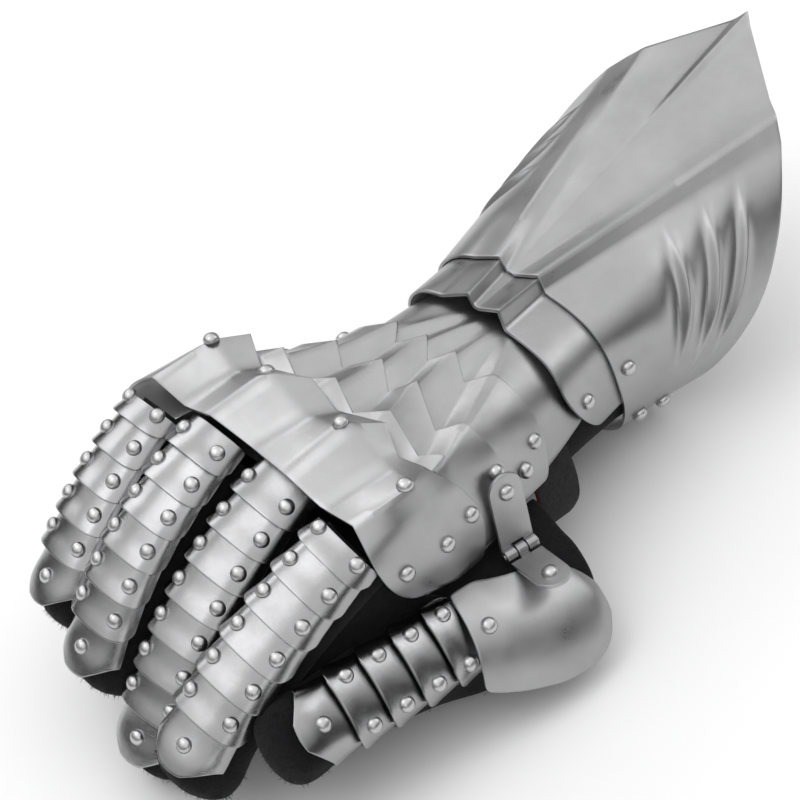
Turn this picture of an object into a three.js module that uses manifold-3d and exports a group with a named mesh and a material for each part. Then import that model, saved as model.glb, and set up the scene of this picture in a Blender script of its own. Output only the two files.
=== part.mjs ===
// Right-hand Gothic gauntlet, palm down, resting on its fingertips and on the lower rim of its cuff.
// Millimetres, +Z up. X runs from the fingertips (-X) to the elbow (+X); the thumb is on the -Y side.
// The working frame has its origin on the back of the wrist; the last lines move it to the floor.
import * as THREE from 'three';
import { mergeVertices } from 'three/addons/utils/BufferGeometryUtils.js';
import Module from 'manifold-3d';

const wasm = await Module();
wasm.setup();

// ---- driving dimensions ----
const PLATE = 1.2; // steel of the cuff and the hand plates
const LAME = 1.0; // steel of the finger and thumb lames
const LEATHER = 1.8; // wall of the suede glove
const LAP = 6; // how far each hand plate reaches under its neighbour
const RISE = 2.2; // how far a plate climbs from its covered edge to its free edge
const LAME_RISE = 2.5; // the same on the finger lames
const RIVET = { r: 3.0, h: 2.3, sink: 0.7 };
const PITCH = 13.41; // from one row of finger rivets to the next
const RIVET_HALF = 9.35; // half the distance between the two rivets of a lame
const LAME_FRONT = 7; // rivet row to the free edge of a lame
const LAME_BACK = 12; // rivet row to its covered edge
const FLOOR_UP = new THREE.Vector3(-0.2141, 0.1069, 0.9709); // the floor's upward direction in the working frame
const BASE = new THREE.Vector3(34.66, 4.03, 83.83); // working origin seen from the floor point

// ---- helpers ----
const V = (x, y, z) => new THREE.Vector3(x, y, z);
const lerp = (a, b, t) => a + (b - a) * t;
const clamp = (t, a, b) => Math.min(b, Math.max(a, t));
const smooth = (t) => {
  const c = clamp(t, 0, 1);
  return c * c * (3 - 2 * c);
};

// Value of a list of [key, value...] rows at a key, straight lines between rows.
function table(rows, key) {
  let i = 0;
  while (i < rows.length - 2 && key > rows[i + 1][0]) i += 1;
  const t = clamp((key - rows[i][0]) / (rows[i + 1][0] - rows[i][0]), 0, 1);
  return rows[i].slice(1).map((v, k) => lerp(v, rows[i + 1][k + 1], t));
}

function toSolid(geometry) {
  const bare = geometry.clone();
  bare.deleteAttribute('normal');
  bare.deleteAttribute('uv');
  const merged = mergeVertices(bare, 1e-3);
  const index = Array.from(merged.index.array);
  const tris = [];
  for (let i = 0; i < index.length; i += 3) {
    const [a, b, c] = index.slice(i, i + 3);
    if (a !== b && b !== c && a !== c) tris.push(a, b, c);
  }
  const make = (t) =>
    new wasm.Manifold(
      new wasm.Mesh({
        numProp: 3,
        vertProperties: Float32Array.from(merged.attributes.position.array),
        triVerts: Uint32Array.from(t),
      }),
    );
  const solid = make(tris);
  if (solid.volume() > 0) return solid;
  for (let i = 0; i < tris.length; i += 3) [tris[i + 1], tris[i + 2]] = [tris[i + 2], tris[i + 1]];
  return make(tris);
}

// A box whose vertices are sent to place(u, v, side): u and v run 0..1, side is 0 or 1.
function sheet(nu, nv, place) {
  const box = new THREE.BoxGeometry(1, 1, 1, nu, nv, 1);
  const p = box.attributes.position;
  for (let i = 0; i < p.count; i += 1) {
    const q = place(p.getX(i) + 0.5, p.getY(i) + 0.5, Math.round(p.getZ(i) + 0.5));
    p.setXYZ(i, q.x, q.y, q.z);
  }
  return toSolid(box);
}

// A turned ring or cup whose vertices are sent to place(column, station) before it becomes a solid.
function turned(columns, stations, closedOnAxis, place) {
  const profile = [];
  for (let j = 0; j < stations; j += 1) {
    const a = (j / (stations - 1)) * Math.PI * (closedOnAxis ? 1 : 2);
    profile.push(new THREE.Vector2(closedOnAxis ? Math.sin(a) : 3 + Math.cos(a), Math.sin(a * 0.5) + j));
  }
  const lathe = new THREE.LatheGeometry(profile, columns);
  const p = lathe.attributes.position;
  for (let i = 0; i < p.count; i += 1) {
    const q = place(Math.floor(i / stations) % columns, i % stations);
    p.setXYZ(i, q.x, q.y, q.z);
  }
  return toSolid(lathe);
}

// Away from the middle line of the hand and the forearm.
const fromHand = (p) => V(0, p.y, (p.z + 48) * 0.9);

// A sheet of even thickness below a surface given as surface(u, v) -> point; outward(point) tells its outer side.
function shell(nu, nv, surface, thickness, outward) {
  const e = 1e-3;
  const normal = (u, v) => {
    const du = surface(Math.min(u + e, 1), v).sub(surface(Math.max(u - e, 0), v)).normalize();
    const a = surface(u, Math.min(v + e, 1)).sub(surface(u, v));
    const b = surface(u, v).sub(surface(u, Math.max(v - e, 0)));
    const dv = a.lengthSq() > 1e-12 ? a.normalize() : V(0, 0, 0);
    if (b.lengthSq() > 1e-12) dv.add(b.normalize());
    const n = du.cross(dv).normalize();
    return n.dot(outward(surface(u, v))) < 0 ? n.negate() : n;
  };
  return sheet(nu, nv, (u, v, side) => {
    const q = surface(u, v);
    return side === 1 ? q : q.addScaledVector(normal(u, v), -thickness);
  });
}

// Domed rivet head standing on a surface point.
function rivet(point, normal, r = RIVET.r, h = RIVET.h, sides = 8) {
  const profile = [
    new THREE.Vector2(0, -RIVET.sink),
    new THREE.Vector2(r, -RIVET.sink),
    new THREE.Vector2(r * 0.78, h * 0.7),
    new THREE.Vector2(0, h),
  ];
  const head = new THREE.LatheGeometry(profile, sides);
  head.applyQuaternion(new THREE.Quaternion().setFromUnitVectors(V(0, 1, 0), normal.clone().normalize()));
  head.translate(point.x, point.y, point.z);
  return toSolid(head);
}

// Adds a rivet head at each seat: x, y, z, then the direction that it faces.
function riveted(solid, seats) {
  return seats.reduce((all, seat) => all.add(rivet(V(...seat.slice(0, 3)), V(...seat.slice(3)))), solid);
}

const group = new THREE.Group();
group.name = 'gauntlet';
const STEEL = { color: 0xb9bbbd, roughness: 0.38, metalness: 1 };
const POLISHED = { color: 0xbfc1c4, roughness: 0.22, metalness: 1 };
const SUEDE = { color: 0x17171a, roughness: 0.95, metalness: 0 };
const STRAP_LEATHER = { color: 0x3a3a3d, roughness: 0.6, metalness: 0 };

function addNode(name, solid, look) {
  const out = solid.getMesh();
  const geometry = new THREE.BufferGeometry();
  geometry.setAttribute('position', new THREE.BufferAttribute(Float32Array.from(out.vertProperties), 3));
  geometry.setIndex(new THREE.BufferAttribute(Uint32Array.from(out.triVerts), 1));
  geometry.computeVertexNormals();
  const mesh = new THREE.Mesh(geometry, new THREE.MeshStandardMaterial(look));
  mesh.name = name;
  group.add(mesh);
}

// ---- back of the hand: one surface that the wrist plate and the metacarpal plates follow ----
// Columns run from the thumb side round the back to the little-finger side:
// four down the near wall, the near ridge, then valley and ridge by turns, and five down the far wall.
const BACK = [
  [-97, -57, -50, -57, -38, -55, -27, -50, -18, -46, -12, -35, -15.5, -21, -10.5, -5, -14.5,
    13, -10.5, 29, -14.5, 45, -11, 50, -15, 55, -20, 60, -28, 62.5, -36, 62, -45],
  [-85, -56, -48, -56, -36, -54, -25.5, -50, -16.5, -45.5, -10.5, -36, -14, -20, -8.5, -6, -12.5,
    7, -8.5, 20, -12.5, 35, -9, 42, -14, 48, -19, 54, -27, 57.5, -36, 57, -45],
  [-65, -54.5, -47, -53.5, -35, -50.5, -24, -45, -15.5, -38, -10.2, -27.5, -14.2, -13, -10.2, -5.8, -13.4,
    4.6, -10.2, 13, -13.4, 24, -10.4, 31, -14.5, 37, -19, 43, -26, 46.5, -35, 46.5, -44],
  [-43, -50, -44, -48.5, -32, -44.5, -22, -38, -14.5, -29.5, -10.4, -19.5, -12.4, -11, -10.3, -4, -12,
    2.8, -10.2, 9.6, -12, 16.5, -10.5, 22, -13.5, 27.5, -17, 33, -24, 36, -33, 36, -42],
  [-22, -46, -40, -44.5, -28.5, -40, -18.5, -31, -11.5, -19, -7.6, -16, -7.3, -13, -7, -9, -7,
    -5, -6.9, -2, -7, 1, -6.9, 13, -8.5, 23, -12, 29.5, -19, 32.5, -28, 32.5, -38],
  [-8, -42.5, -38, -41.5, -27.5, -37, -18, -29, -11, -19, -7, -16, -6.6, -13, -6.3, -9, -6.2,
    -5, -6.1, -2, -6.1, 1, -6.1, 12, -7.6, 21, -11.5, 27, -18.5, 29.5, -28, 29.5, -38],
];
const COLUMNS = 15;

function backPoint(x, col, lift) {
  const row = table(BACK, x);
  const c = clamp(col, 0, COLUMNS);
  const i = Math.min(Math.floor(c), COLUMNS - 1);
  const at = (k) => V(x, row[2 * k], row[2 * k + 1]);
  const p = at(i).lerp(at(i + 1), c - i);
  const a = at(Math.max(Math.round(c) - 1, 0));
  const b = at(Math.min(Math.round(c) + 1, COLUMNS));
  const n = V(0, -(b.z - a.z), b.y - a.y).normalize();
  return p.addScaledVector(n, lift);
}

// Free rear edge of each plate, one X per column; the covered front edge follows the next plate's.
const M1_REAR = [-37, -36.5, -37.5, -39, -41, -48, -41, -48, -41, -48, -41.5, -47, -46, -45, -45, -45];
const M2_REAR = [-57, -58, -61, -64, -67.5, -73, -62, -69, -61, -70, -63.6, -69, -67, -66, -66, -66];
const M3_REAR = [-86, -86, -86, -85, -84, -87, -82, -86.5, -81.5, -86, -80.5, -84, -84, -84, -84, -84];
const M2_FRONT = -89.5;
const M3_FRONT = -98;

function backPlate(first, last, rearEdge, frontEdge, rise) {
  const n = last - first;
  const surface = (u, v) => {
    const col = first + u * n;
    const i = Math.min(Math.floor(col), COLUMNS - 1);
    const xr = lerp(rearEdge(i), rearEdge(i + 1), col - i);
    const xf = lerp(frontEdge(i), frontEdge(i + 1), col - i);
    return backPoint(lerp(xf, xr, v), col, v * rise);
  };
  return shell(n, 3, surface, PLATE, fromHand);
}

function wristPlate() {
  return backPlate(0, COLUMNS, () => -8, (i) => M1_REAR[i] - LAP, 0);
}

function metacarpalPlates() {
  const m1 = backPlate(0, COLUMNS, (i) => M1_REAR[i], (i) => M2_REAR[i] - LAP, RISE);
  const m2 = backPlate(0, COLUMNS, (i) => M2_REAR[i], () => M2_FRONT, RISE);
  const m3 = backPlate(4, 12, (i) => M3_REAR[i], () => M3_FRONT, RISE + 0.5);
  const far = (x, y, z) => [x, y, z, 0, 0.83, 0.55];
  return [
    riveted(m1, [[-41.6, -47.9, -26.1, 0.05, -0.92, 0.38], [-49.3, -51.1, -32.5, 0.09, -0.94, 0.34], far(-48, 35.8, -21.9)]),
    riveted(m2, [[-65.5, -52, -23.2, 0.06, -0.85, 0.52], far(-68, 45.4, -23.4)]),
    m3,
  ];
}

// ---- knuckle plate: four bosses in a row, sides folded down ----
// Rows from the rear edge to the front edge; each holds x, y, z of the sixteen columns.
const KNUCKLE = [
  [[-77.5, -58.3, -48.5], [-77.5, -58.6, -37], [-79, -56.8, -26], [-86, -52.6, -15.5], [-94.6, -45.5, -6.5],
    [-94, -34, -9.5], [-90, -24.5, -2.5], [-91, -2.9, -8.5], [-89.5, 10, -2.5], [-91, 33, -8.5],
    [-85, 44, -3.5], [-88, 52, -10], [-89, 58, -17], [-89, 62, -26], [-88, 63.5, -35], [-87, 62.5, -44]],
  [[-92, -58.8, -49.5], [-96, -59.5, -38], [-100, -58, -26.5], [-103, -55.5, -15], [-106, -51, -4.5],
    [-101, -35.5, -9.5], [-101, -17, -0.5], [-100, 3, -9], [-99, 21, -0.5], [-99, 38, -9],
    [-97, 51, -3], [-98, 60, -11], [-99, 65, -19], [-99, 69, -27], [-98, 70.5, -36], [-96, 69.5, -46]],
  [[-109, -55.5, -49], [-117, -55.5, -43], [-124.5, -55.5, -32], [-125.5, -49.5, -22.6], [-124, -41.5, -16],
    [-123, -26, -17.5], [-123.5, -11.5, -12.5], [-117, 12, -17], [-118.5, 30, -12.5], [-117, 44, -17],
    [-114.5, 63, -16], [-116, 71.5, -21], [-116, 76, -28], [-115, 77.5, -35], [-109, 75.5, -43],
    [-101, 73.5, -48]],
];

// One rivet on each boss, three on the near wall and one on the far wall.
const KNUCKLE_RIVETS = [
  [-97, 51, -3.1, 0, 0.3, 0.95], [-93.3, 28, -7, 0.1, 0.26, 0.96], [-101.1, -14.5, -1.6, -0.21, 0.39, 0.9],
  [-106.4, -48.2, -5.8, -0.18, 0.1, 0.97], [-83.8, -57.1, -27.2, 0, -0.97, 0.24],
  [-96.9, -58.5, -30.9, 0.02, -0.99, 0.14], [-114.2, -56.6, -33.7, -0.1, -0.99, 0.02],
  [-99, 67, -23, 0, 0.9, 0.43],
];

function knucklePoint(u, v) {
  const c = u * COLUMNS;
  const i = Math.min(Math.floor(c), COLUMNS - 1);
  const r = v * (KNUCKLE.length - 1);
  const j = Math.min(Math.floor(r), KNUCKLE.length - 2);
  const at = (jj) => V(...KNUCKLE[jj][i]).lerp(V(...KNUCKLE[jj][i + 1]), c - i);
  return at(j).lerp(at(j + 1), r - j);
}

function knucklePlate() {
  return riveted(shell(COLUMNS, 4, knucklePoint, PLATE, fromHand), KNUCKLE_RIVETS);
}

// ---- cuff: a flared cone with a raised pointed back ----
// Half section from the middle of the back, down the side, to the middle of the underside.
// Each row: front x, y, z, then rim x, y, z.
const CUFF_MID = [0, 0.2, -0.4, 131, 0, 47.6];
const CUFF_NEAR = [
  [0, -1.2, -0.6, 108, -29, 33.6],
  [0, -12.3, 4, 104, -35, 31.8],
  [0, -16.3, -1.6, 100, -41, 24.5],
  [0, -24.3, -2.6, 94, -46.5, 18],
  [0, -32, -4.8, 89, -51, 11],
  [0.5, -37.5, -8, 84.5, -54.5, 3],
  [1, -41.8, -12.5, 79.5, -57, -5],
  [2.5, -44.2, -18, 73.5, -59.5, -13.5],
  [5, -45, -25, 67.5, -60, -22.5],
  [8, -45.3, -33, 61.5, -57.5, -34],
  [12, -45, -43, 57, -52, -46],
  [17, -42, -55, 54, -44.5, -56],
  [20, -36.5, -65, 52, -33, -66],
  [21, -20, -71.5, 51.5, -18, -73],
];
const CUFF_FAR = [
  [0, 1.6, -0.4, 107, 28.5, 33],
  [0, 5.6, 3.6, 105, 34.5, 27.5],
  [0, 17.4, -2, 100.5, 40, 22],
  [0, 22, -3.5, 95, 45, 14.5],
  [0, 27, -6.2, 90, 49.5, 6],
  [0.5, 31, -9.5, 85.5, 53.5, -3],
  [1, 34.5, -14, 80.5, 57, -11],
  [2.5, 37, -19.5, 75, 59.5, -20],
  [5, 38.5, -26, 69, 60, -29],
  [8, 39, -34, 63, 58.5, -39],
  [12, 38.5, -44, 58, 53.5, -50],
  [17, 35.5, -55, 55, 46, -59],
  [20, 29, -65, 53, 34, -67.5],
  [21, 13, -71.5, 51.5, 18, -73],
];
const CUFF_BASE = [21.5, -3, -73, 51, 0, -75];
const CUFF_RING = [CUFF_MID, ...CUFF_NEAR, CUFF_BASE, ...CUFF_FAR.slice().reverse()];
const CUFF_RIVETS = [[9, 0.09], [12, 0.2], [12, 0.53]]; // column and place along it, on both sides
// Rows of the cuff from the wrist to the rim, and how far each steps in (-) or out (+) on the side panels,
// which makes the three crescent flutes that cross each side.
const CUFF_ROWS = [[0, 0], [0.14, 0], [0.36, 0], [0.45, -1.5], [0.485, 1], [0.62, -1.6], [0.655, 1], [0.78, -1.4],
  [0.81, 0.8], [1, 0]];

function fluteDepth(k, step) {
  const side = Math.min(k, CUFF_RING.length - k);
  return step * smooth((side - 3.2) / 2.2) * smooth((10.2 - side) / 2.4);
}

function cuffPoint(k, t) {
  const c = CUFF_RING[k];
  const p = V(lerp(c[0], c[3], t), lerp(c[1], c[4], t), lerp(c[2], c[5], t));
  const outward = V(-0.2, p.y, p.z + 36).normalize();
  p.addScaledVector(outward, fluteDepth(k, table(CUFF_ROWS, t)[0]));
  if (k === 0) p.z += 1.4 * smooth((t - 0.5) / 0.3) - 1.0 * smooth((t - 0.02) / 0.1) * smooth((0.6 - t) / 0.3);
  return p;
}

function cuffNormal(k, t) {
  const n = CUFF_RING.length;
  const a = cuffPoint((k + 1) % n, t).sub(cuffPoint((k + n - 1) % n, t));
  const b = cuffPoint(k, Math.min(t + 0.02, 1)).sub(cuffPoint(k, Math.max(t - 0.02, 0)));
  const out = a.cross(b).normalize();
  const p = cuffPoint(k, t);
  return out.dot(V(0, p.y, p.z + 36)) < 0 ? out.negate() : out;
}

function cuff() {
  const rows = CUFF_ROWS.length;
  const body = turned(CUFF_RING.length, 2 * rows + 1, false, (k, station) => {
    const s = station % (2 * rows);
    const [t] = CUFF_ROWS[s < rows ? s : 2 * rows - 1 - s];
    const p = cuffPoint(k, t);
    return s < rows ? p : p.addScaledVector(cuffNormal(k, t), -PLATE);
  });
  const seats = CUFF_RIVETS.flatMap(([k, t]) => [[k, t], [CUFF_RING.length - k, t]]);
  return riveted(body, seats.map(([k, t]) => [...cuffPoint(k, t), ...cuffNormal(k, t)]));
}

// ---- wrist lame: between the cuff and the wrist plate ----
// Front edge, one x, y, z for each cuff column that it follows.
const LAME_FRONT_EDGE = [
  [-2, -44.6, -44.7], [-12, -47.3, -36], [-18, -46.6, -28], [-22, -44.8, -20.5], [-22, -41.6, -15.2],
  [-22, -36.5, -10.4], [-22, -29.5, -7.7], [-22, -23, -6.3], [-22, -17.3, -5.1], [-22, -13.7, 1.4],
  [-22, -4.4, -2.2], [-22, -3.6, -2.1], [-22, -2.9, -2], [-22, 0.4, 1.8], [-22, 13.2, -5.1],
  [-22, 17.2, -5.8], [-22, 20.8, -6.8], [-22, 24.2, -8.4], [-22, 28, -12.4], [-20, 31, -18.5],
  [-17, 32.8, -25.5], [-11, 33.5, -34], [-2, 34, -44],
];
const LAME_COLUMNS = [11, 10, 9, 8, 7, 6, 5, 4, 3, 2, 1, 0, 29, 28, 27, 26, 25, 24, 23, 22, 21, 20, 19];

function lamePoint(u, v) {
  const c = u * (LAME_COLUMNS.length - 1);
  const i = Math.min(Math.floor(c + 1e-9), LAME_COLUMNS.length - 2);
  const at = (m) => {
    const k = LAME_COLUMNS[m];
    const under = (x) => {
      const t = (x - CUFF_RING[k][0]) / (CUFF_RING[k][3] - CUFF_RING[k][0]);
      return cuffPoint(k, Math.max(t, 0)).addScaledVector(cuffNormal(k, Math.max(t, 0)), -1.75);
    };
    const front = V(...LAME_FRONT_EDGE[m]);
    const mid = under(CUFF_RING[k][0]);
    const rear = under(Math.max(9, CUFF_RING[k][0] + 5));
    return v < 0.5 ? front.lerp(mid, v * 2) : mid.lerp(rear, v * 2 - 1);
  };
  return at(i).lerp(at(i + 1), c - i);
}

function wristLame() {
  const band = shell(LAME_COLUMNS.length - 1, 2, lamePoint, PLATE, fromHand);
  return riveted(band, [[-10.4, -45.7, -28.1, 0.12, -0.98, 0.17], [-8, 35.2, -30, 0.12, 0.98, 0.17]]);
}

// ---- finger and thumb lames ----
// Section of a lame across the finger: side position and height, from the inner skirt over the top.
const ARCH = [[-13.3, -5.4], [-12.2, -2.5], [-10.2, -0.4], [-5.5, 1], [0, 1.5], [5.5, 1], [10.2, -0.4],
  [12.2, -2.5], [13.3, -5.4]];
// Free edge: how far each column stops short of the middle one, for the rounded corners.
const CORNER = [4.5, 1.2, 0, 0, 0, 0, 0, 1.2, 4.5];
const TIP_CORNER = [9, 8.3, 5, 1, 0, 1, 5, 8.3, 9];

// Each digit: where its first rivet row sits, its heading, first slope, slope step, roll and lame count.
const DIGITS = {
  index: { at: [-127.2, -38.6, -24.8], yaw: -14.1, slope: 35.6, step: 2.9, roll: 18.4, lames: 6, size: 1, start: 2.5 },
  middle: { at: [-123.2, -2.7, -24.8], yaw: -8, slope: 36.3, step: 5, roll: 7.1, lames: 7, size: 1.01, start: 9 },
  ring: { at: [-123.4, 28.9, -20.6], yaw: -6.2, slope: 31.6, step: 5.9, roll: -0.8, lames: 6, size: 0.99, start: 6.5 },
  little: { at: [-121, 59.7, -23.8], yaw: -4.6, slope: 35.7, step: 5.2, roll: -10.3, lames: 5, size: 0.98, start: 1.5 },
  thumb: { at: [-103.6, -68.2, -62.6], yaw: -9.2, slope: 5.6, step: 0.2, roll: 43, lames: 4, size: 1, start: 6 },
};

// Axes of a digit at a lame: along (towards the tip), side (towards the thumb side) and up.
function digitFrame(digit, k) {
  const rad = Math.PI / 180;
  const yaw = digit.yaw * rad;
  const heading = (deg) =>
    V(-Math.cos(yaw) * Math.cos(deg * rad), -Math.sin(yaw) * Math.cos(deg * rad), -Math.sin(deg * rad));
  const at = V(...digit.at);
  for (let i = 0; i < Math.floor(k); i += 1) {
    at.addScaledVector(heading(digit.slope + digit.step * (i + 0.5)), PITCH * digit.size);
  }
  const part = k - Math.floor(k);
  const deg = digit.slope + digit.step * k;
  at.addScaledVector(heading(deg - (digit.step * part) / 2), PITCH * digit.size * part);
  const along = heading(deg);
  const flat = V(Math.sin(yaw), -Math.cos(yaw), 0);
  const lift = along.clone().cross(flat);
  const roll = digit.roll * rad;
  const side = flat.multiplyScalar(Math.cos(roll)).addScaledVector(lift, -Math.sin(roll));
  const up = along.clone().cross(side);
  return { at, along, side, up };
}

function inDigit(f, a, s, n) {
  return f.at.clone().addScaledVector(f.along, a).addScaledVector(f.side, s).addScaledVector(f.up, n);
}

function lame(digit, k) {
  const f = digitFrame(digit, k);
  const tip = k === digit.lames;
  const front = tip ? LAME_FRONT + 5.5 : LAME_FRONT;
  const back = k === 0 ? digit.start : LAME_BACK;
  const corner = tip ? TIP_CORNER : CORNER;
  const cols = ARCH.length - 1;
  const width = digit.size * (tip ? 0.95 : 1);
  const point = (c, v) => {
    const i = Math.round(c);
    const a = lerp(-back, front - corner[i], v);
    const narrow = tip ? 1 - 0.22 * clamp((a - 2) / 10, 0, 1) : 1;
    const h = (LAME_RISE * (a + LAME_BACK)) / (LAME_FRONT + LAME_BACK);
    const [s, n] = ARCH[i];
    const spread = 1 + (h / 14) * (Math.abs(s) > 12 ? 1 : 0.6);
    return inDigit(f, a, s * width * narrow * spread, n * (tip ? 0.9 : 1) + Math.min(h, 2.4) * (n < -2 ? 0.6 : 1));
  };
  const body = sheet(cols, 1, (u, v, side) => {
    const c = Math.round(u * cols);
    const p = point(c, v);
    if (side === 1) return p;
    const across = point(Math.min(c + 1, cols), v).sub(point(Math.max(c - 1, 0), v));
    const n = f.along.clone().cross(across).normalize();
    return p.addScaledVector(n.dot(f.up) < 0 ? n.negate() : n, -LAME);
  });
  const seats = tip ? [0] : [-RIVET_HALF, RIVET_HALF];
  return seats.reduce((solid, s) => {
    const n = tip ? 3.1 : 1.5;
    const tilt = f.up.clone().addScaledVector(f.side, s * 0.035);
    return solid.add(rivet(inDigit(f, tip ? 2 : 0, s * digit.size, n), tilt, 2.9, 2.2, 6));
  }, body);
}

// ---- thumb ball plate: mussel-shaped dome behind the thumb lames ----
// Rows: distance along the thumb, top edge, bottom edge, height of the dome.
const BALL = [
  [-55.5, 8, 20, 1], [-53, 2.5, 25.5, 3], [-47, -3, 30.5, 4.4], [-38, -7.2, 32.6, 5.4],
  [-27, -9.6, 31.8, 6.2], [-15, -13.5, 27.6, 7], [-3, -13.6, 20.5, 6],
];

function ballPoint(u, v) {
  const f = digitFrame(DIGITS.thumb, 0);
  const along = lerp(-55.5, -3, v);
  const [top, bottom, dome] = table(BALL, along);
  const t = 2 * u - 1;
  const front = smooth((along + 25) / 22) * t * 2.9;
  return inDigit(f, along + front, lerp(top, bottom, u), dome * (1 - t * t) + 0.2);
}

function thumbPlate() {
  const dome = shell(8, 7, ballPoint, PLATE, () => digitFrame(DIGITS.thumb, 0).up);
  return riveted(dome, [[-94.6, -75.2, -57.9, -0.23, -0.58, 0.78]]);
}

// ---- hinge of the thumb plate: two leaves with rolled knuckles on one pin ----
const HINGE = { at: [-64.3, -62.3, -51.3], axis: [0.96, -0.226, 0.163], width: 13, pin: 1.3, barrel: 2.6, leaf: 1.4 };

function hingeFrame(swing) {
  const x = V(...HINGE.axis).normalize();
  const down = V(0.132, -0.146, -0.98);
  down.addScaledVector(x, -down.dot(x)).normalize();
  const out = down.clone().cross(x).normalize();
  if (out.y > 0) out.negate();
  const y = down.clone().multiplyScalar(Math.cos(swing)).addScaledVector(out, Math.sin(swing));
  const z = x.clone().cross(y);
  return new THREE.Matrix4().makeBasis(x, y, z).setPosition(V(...HINGE.at));
}

function hingeLeaf(swing, length, lift, spans) {
  const half = HINGE.width / 2;
  const outline = new THREE.Shape();
  outline.moveTo(-half, HINGE.barrel * 0.9);
  outline.lineTo(half, HINGE.barrel * 0.9);
  outline.lineTo(half, length - half);
  outline.absarc(0, length - half, half, 0, Math.PI, false);
  outline.closePath();
  const plate = new THREE.ExtrudeGeometry(outline, { depth: HINGE.leaf, bevelEnabled: false, curveSegments: 6 });
  plate.translate(0, 0, lift);
  let leaf = toSolid(plate);
  for (const [a, b] of spans) {
    const ring = [[HINGE.pin + 0.3, a], [HINGE.barrel, a], [HINGE.barrel, b], [HINGE.pin + 0.3, b], [HINGE.pin + 0.3, a]];
    const barrel = new THREE.LatheGeometry(ring.map((p) => new THREE.Vector2(...p)), 12);
    barrel.rotateZ(-Math.PI / 2);
    const web = new THREE.BoxGeometry(b - a, HINGE.barrel * 1.2, HINGE.leaf);
    web.translate((a + b) / 2, HINGE.barrel * 1.0, lift + HINGE.leaf / 2);
    const bore = new THREE.CylinderGeometry(HINGE.pin + 0.3, HINGE.pin + 0.3, b - a + 2, 12);
    bore.rotateZ(Math.PI / 2);
    bore.translate((a + b) / 2, 0, 0);
    leaf = leaf.add(toSolid(barrel)).add(toSolid(web)).subtract(toSolid(bore));
  }
  const other = spans.length === 2 ? [[-2.3, 2.3]] : [[-half, -1.9], [1.9, half]];
  for (const [a, b] of other) {
    const clear = new THREE.CylinderGeometry(HINGE.barrel + 0.35, HINGE.barrel + 0.35, b - a + 0.5, 12);
    clear.rotateZ(Math.PI / 2);
    clear.translate((a + b) / 2, 0, 0);
    leaf = leaf.subtract(toSolid(clear));
  }
  const face = lift < 0 ? 1 : -1;
  const head = rivet(V(0, length - half - 1, lift < 0 ? lift + HINGE.leaf : lift), V(0, 0, face));
  return leaf.add(head).transform(hingeFrame(swing).elements);
}

function hingePin() {
  const pin = new THREE.CylinderGeometry(HINGE.pin, HINGE.pin, HINGE.width + 1, 10);
  pin.rotateZ(Math.PI / 2);
  return toSolid(pin).transform(hingeFrame(0).elements);
}

// ---- suede glove, hollow ----
// Section of a finger stall: side position and height below the rivet row.
const STALL = [[0, -1.4], [8.2, -2.7], [11.2, -7], [12.5, -11.5], [11.6, -17], [6.5, -20.8], [-6.5, -20.8], [-11.6, -17],
  [-12.5, -11.5], [-11.2, -7], [-8.2, -2.7]];
const STALL_AXIS = -11.2;

// The inner side of the thumb stall swells towards the palm, where the web of the thumb is,
// and its underside drops under the ball of the thumb.
function stallPoint(digit, row, column, wall) {
  const [k, ahead, scale, web, drop] = row;
  const f = digitFrame(digit, Math.max(k, 0));
  const [s, h] = STALL[column];
  const r = Math.hypot(s, h - STALL_AXIS);
  const shrink = (scale * r - wall) / r;
  const side = s * shrink * digit.size - (s < 0 && h < -9 ? web : 0);
  const p = inDigit(f, (k < 0 ? k * PITCH : 0) + ahead, side, STALL_AXIS + (h - STALL_AXIS) * shrink);
  if (drop && h < -12) p.add(V(0, -0.35, -1).multiplyScalar(drop));
  return p;
}

function stall(digit, rows) {
  const n = rows.length;
  const stations = 2 * n + 2;
  const end = digitFrame(digit, digit.lames);
  return turned(STALL.length, stations, true, (column, station) => {
    if (station === 0) return inDigit(end, 19, 0, STALL_AXIS - 1);
    if (station === stations - 1) return inDigit(end, 17, 0, STALL_AXIS - 1);
    if (station <= n) return stallPoint(digit, rows[n - station], column, 0);
    return stallPoint(digit, rows[station - n - 1], column, LEATHER);
  });
}

function fingerStall(digit) {
  const rows = [];
  for (let k = 0; k < digit.lames; k += 1) rows.push([k, k === 0 ? -3 : 0, 1, 0]);
  rows.push([digit.lames, 0, 1, 0], [digit.lames, 10, 1, 0], [digit.lames, 18, 0.72, 0]);
  return stall(digit, rows);
}

function thumbStall(digit) {
  const rows = [[-3.5, 0, 1, 5, 6], [-2.5, 0, 1.04, 6, 13], [-1.5, 0, 1.02, 6, 15], [-0.5, 0, 1, 6, 11]];
  rows.push([0.5, 0, 1, 5, 6], [1.5, 0, 1, 3, 3], [3, 0, 1, 1, 0], [digit.lames, 0, 1, 0, 0]);
  rows.push([digit.lames, 9, 0.95, 0, 0], [digit.lames, 16, 0.7, 0, 0]);
  return stall(digit, rows);
}

// Palm and wrist of the glove: x, centre y, half width above and below the plate edges, top z, bottom z.
const PALM = [
  [-112, 6, 51, 51, -26, -56, -48], [-96, 6, 54, 56, -19.5, -58, -50], [-78, 1, 48.5, 52, -16.5, -58, -50],
  [-58, -4, 41.5, 46, -15.5, -60, -50], [-38, -6.5, 33.5, 39, -15.5, -63, -50], [-18, -6, 32.8, 36.5, -12, -66, -50],
  [2, -4.5, 34, 35.5, -10, -67, -48], [20, -3, 36, 36, -7, -68, -46], [30, -2.5, 37, 37, -5, -68, -46],
];
const FRONT_LEAN = 0.4; // the front opening of the palm leans back under the finger roots
const AROUND = 16;

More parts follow.
